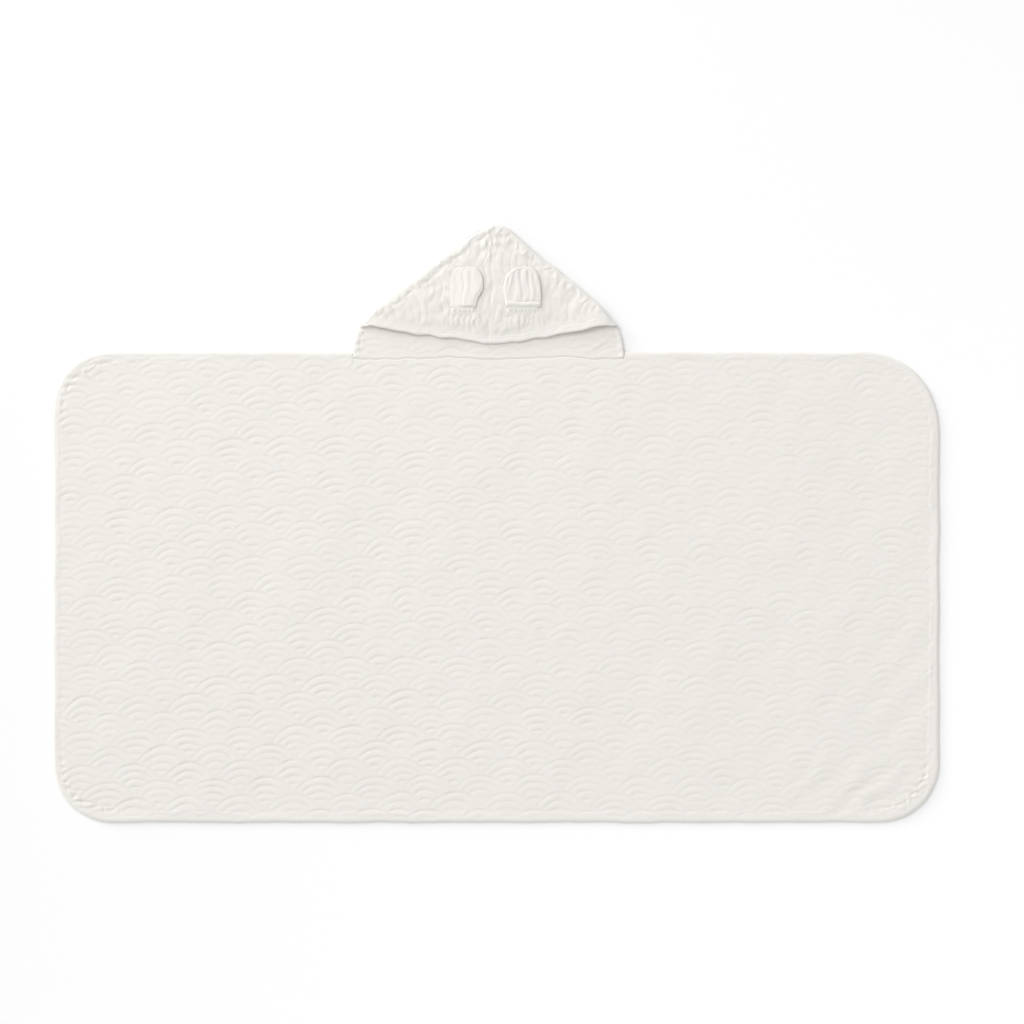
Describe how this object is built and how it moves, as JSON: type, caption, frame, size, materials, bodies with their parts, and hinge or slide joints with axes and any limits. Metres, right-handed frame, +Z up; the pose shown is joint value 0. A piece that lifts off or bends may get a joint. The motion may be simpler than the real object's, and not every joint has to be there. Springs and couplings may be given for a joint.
{
  "type": "hooded baby towel",
  "caption": "Hooded baby towel of patterned terry, lying flat, with a pocket hood that folds and opens, two floppy bunny ears and a bound edge.",
  "frame": {"origin": "middle of the whole outline, with the hood, on the surface that the towel lies on", "axes": "+Z up, out of the inner face; +Y from the lower edge to the hood's peak; +X to the right, seen from above"},
  "size_m": [1.2, 0.809, 0.0227],
  "materials": {
    "terry_cloth": "matt off-white cotton terry with a recessed wave-fan relief",
    "terry_binding": "matt off-white cotton terry, cut plain, folded over the edge",
    "ear_lining": "matt off-white cotton, very slightly pink",
    "sewing_thread": "matt off-white polyester thread"
  },
  "bodies": {
    "towel": {"towel_panel": "terry_cloth", "edge_binding": "terry_binding", "binding_topstitch": "sewing_thread", "neck_seam_thread": "sewing_thread"},
    "hood": {"hood_back": "terry_cloth", "side_binding_left": "terry_binding", "side_binding_right": "terry_binding", "overlock_seam_left": "sewing_thread", "overlock_seam_right": "sewing_thread"},
    "hood_front": {"hood_front_left": "terry_cloth", "hood_front_right": "terry_cloth", "centre_seam_thread": "sewing_thread", "rim_binding_left": "terry_binding", "rim_binding_right": "terry_binding", "rim_topstitch_left": "sewing_thread", "rim_topstitch_right": "sewing_thread", "ear_tuck_left": "terry_cloth", "ear_tuck_right": "terry_cloth", "ear_stitches_left": "sewing_thread", "ear_stitches_right": "sewing_thread"},
    "ear_left": {"ear_shell_left": "terry_cloth", "ear_lining_left": "ear_lining"},
    "ear_right": {"ear_shell_right": "terry_cloth", "ear_lining_right": "ear_lining"}
  },
  "joints": [
    {"name": "hood_fold", "type": "hinge", "parent": "towel", "child": "hood", "pos_m": [-0.01, 0.2235, 0.0049], "axis": [1, 0, 0], "range_deg": [0, 110]},
    {"name": "hood_open", "type": "hinge", "parent": "hood", "child": "hood_front", "pos_m": [-0.01, 0.4045, 0.006], "axis": [-1, 0, 0], "range_deg": [0, 20]},
    {"name": "ear_left_flop", "type": "hinge", "parent": "hood_front", "child": "ear_left", "pos_m": [-0.03949, 0.29112, 0.01948], "axis": [0.9989, 0.0014, 0.0464], "range_deg": [0, 120]},
    {"name": "ear_right_flop", "type": "hinge", "parent": "hood_front", "child": "ear_right", "pos_m": [0.03747, 0.29109, 0.01864], "axis": [0.9989, -0.0014, -0.0464], "range_deg": [0, 120]}
  ]
}
